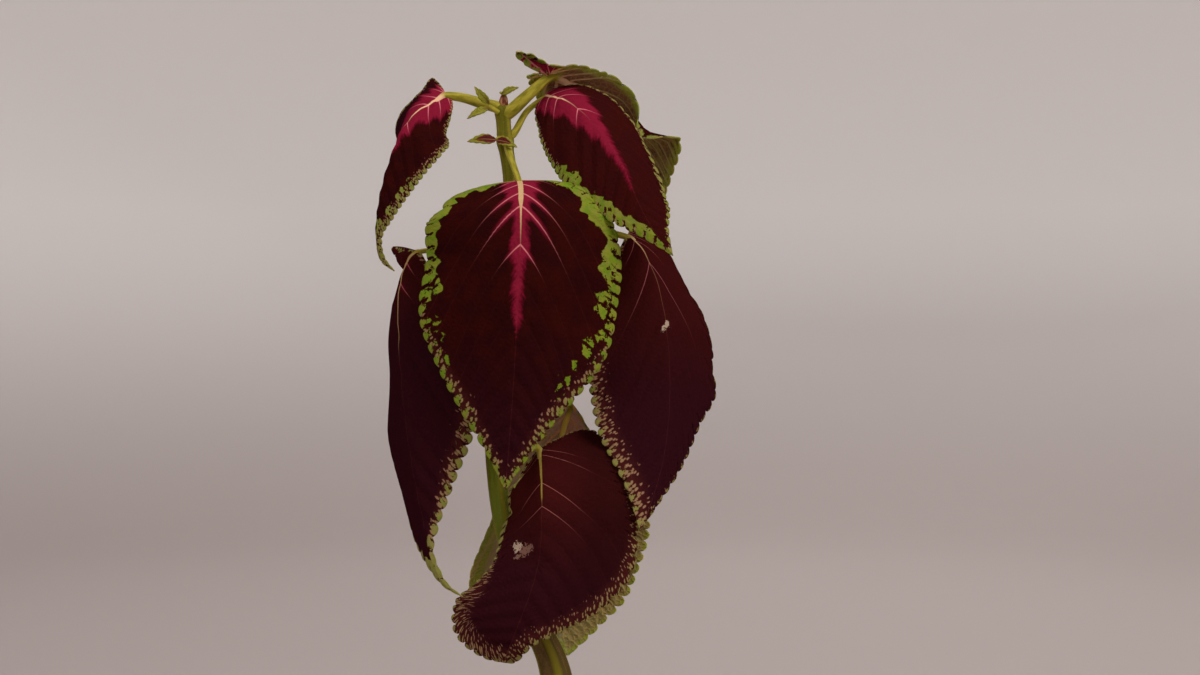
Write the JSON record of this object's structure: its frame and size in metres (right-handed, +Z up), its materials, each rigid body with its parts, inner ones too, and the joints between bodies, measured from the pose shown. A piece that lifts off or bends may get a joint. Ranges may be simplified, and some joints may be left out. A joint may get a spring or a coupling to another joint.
{
  "type": "potted coleus",
  "caption": "Young coleus with large crenate leaves in facing pairs on a square stem, standing in the soil of a round plain nursery pot.",
  "frame": {"origin": "centre of the pot's underside", "axes": "+Z up the plant, -Y towards the plant's front, +X to the right as seen from the front"},
  "size_m": [0.1428, 0.12, 0.3822],
  "materials": {
    "pot": "moulded plastic, slightly satin",
    "soil": "loose, matt and moist",
    "stem": "soft, faintly ridged and hairy",
    "shoot": "soft and finely hairy",
    "leaf": "velvety, quilted between the veins"
  },
  "bodies": {
    "root": {"pot": "pot", "soil": "soil", "stem": "stem", "shoot_tip": "shoot", "side_shoot_left": "shoot", "side_shoot_front": "shoot", "leaf_1_upper_left": "leaf", "leaf_2_upper_right_front": "leaf", "leaf_3_upper_right_back": "leaf", "leaf_4_centre": "leaf", "leaf_5_right": "leaf", "leaf_6_left": "leaf", "leaf_7_bottom_front": "leaf", "leaf_8_bottom_back": "leaf"}
  },
  "joints": []
}
